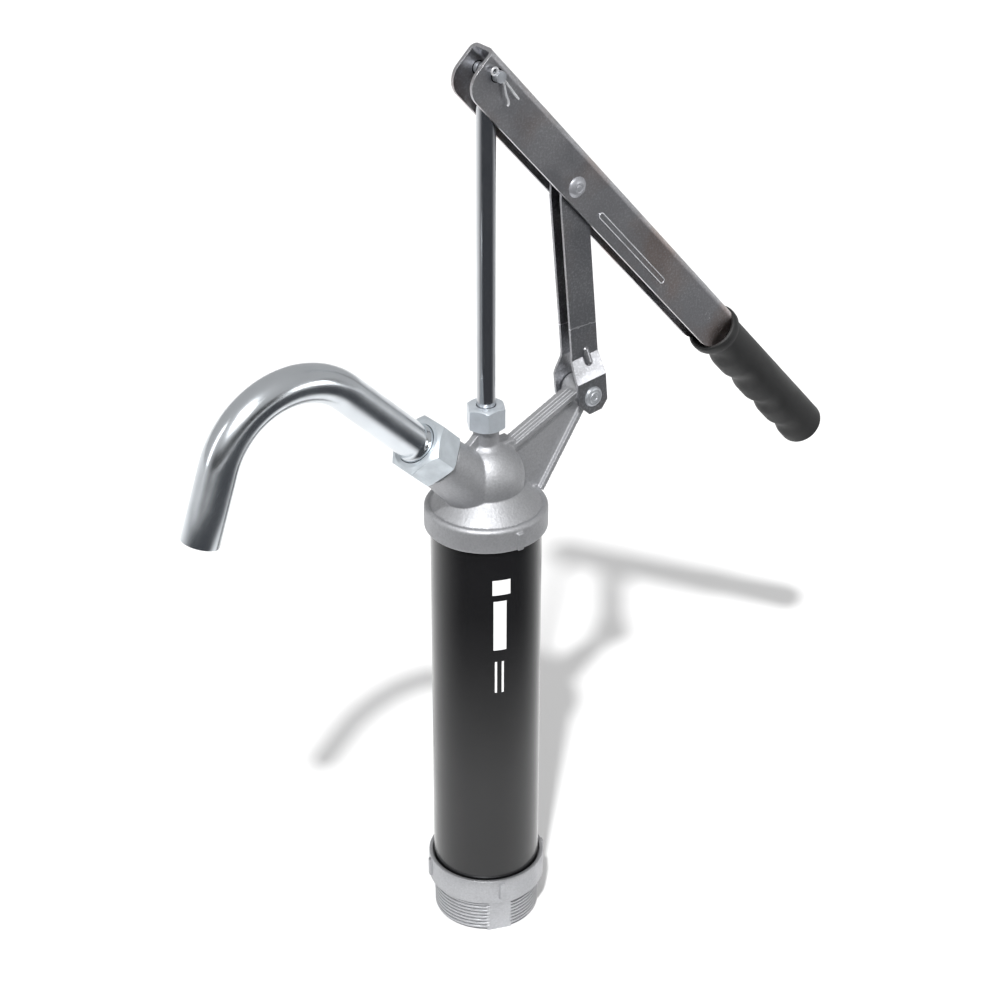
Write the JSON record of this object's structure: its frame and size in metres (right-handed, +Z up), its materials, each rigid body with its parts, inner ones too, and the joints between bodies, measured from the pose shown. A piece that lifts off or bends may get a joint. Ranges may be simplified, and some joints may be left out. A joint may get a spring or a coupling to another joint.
{
  "type": "hand drum pump",
  "caption": "Hand lever fluid transfer pump: threaded drum base, piston barrel, cast head with a swivelling hooked spout, and a linked lever with a grip.",
  "frame": {"origin": "centre of the drum thread's lower face, on the barrel's axis", "axes": "+Z up along the barrel and the piston rod, the handle to +X and the spout to -X, the linkage in the plane y = 0"},
  "size_m": [0.4347, 0.0702, 0.5242],
  "materials": {
    "base": "die cast, satin",
    "gasket": "matt",
    "valve_brass": "satin",
    "valve_disc": "matt",
    "barrel": "black satin",
    "head": "sand blasted",
    "packing": "matt",
    "nut": "zinc plated",
    "spout": "bright plated",
    "rod": "polished",
    "piston": "machined",
    "cup": "oiled",
    "lever": "zinc plated",
    "steel": "zinc plated",
    "grip": "charcoal, matt"
  },
  "bodies": {
    "pump": {"base_cap": "base", "base_gasket": "gasket", "foot_valve_seat": "valve_brass", "foot_valve_cage": "valve_brass", "barrel": "barrel", "head_gasket": "gasket", "head_casting": "head", "gland_packing": "packing", "gland_washer": "valve_brass", "gland_nut": "nut", "outlet_gasket": "gasket", "outlet_nut": "nut"},
    "spout": {"spout_pipe": "spout"},
    "foot_valve": {"foot_valve_disc": "valve_disc"},
    "rod": {"piston_rod": "rod", "piston_nut": "steel", "cup_washer": "piston", "piston_cup": "cup", "piston_body": "piston", "piston_valve_stop": "piston"},
    "piston_valve": {"piston_valve_disc": "valve_disc"},
    "lever": {"lever_channel": "lever", "lever_tang": "steel", "tang_rivets": "steel", "grip": "grip", "rod_pin": "steel", "cotter_pin": "steel", "lever_rivets": "steel"},
    "link": {"link_channel": "lever", "link_rivet": "steel"}
  },
  "joints": [
    {"name": "spout_swivel", "type": "hinge", "parent": "pump", "child": "spout", "pos_m": [-0.04243, 0, 0.31643], "axis": [-0.7071, 0, 0.7071], "range_deg": [-180, 180]},
    {"name": "foot_valve_lift", "type": "slide", "parent": "pump", "child": "foot_valve", "axis": [0, 0, 1], "range_m": [0, 0.0048]},
    {"name": "rod_stroke", "type": "slide", "parent": "pump", "child": "rod", "axis": [0, 0, 1], "range_m": [-0.074, 0]},
    {"name": "piston_valve_lift", "type": "slide", "parent": "rod", "child": "piston_valve", "axis": [0, 0, 1], "range_m": [0, 0.0043]},
    {"name": "lever_swing", "type": "hinge", "parent": "rod", "child": "lever", "pos_m": [0, 0, 0.511], "axis": [0, -1, 0], "range_deg": [0, 55]},
    {"name": "link_swing", "type": "hinge", "parent": "pump", "child": "link", "pos_m": [0.065, 0, 0.3164], "axis": [0, 1, 0], "range_deg": [0, 21]}
  ],
  "couplings": [
    {"joint": "rod_stroke", "follows": "lever_swing", "m_per_rad": -0.0747},
    {"joint": "link_swing", "follows": "lever_swing", "ratio": 0.355}
  ]
}
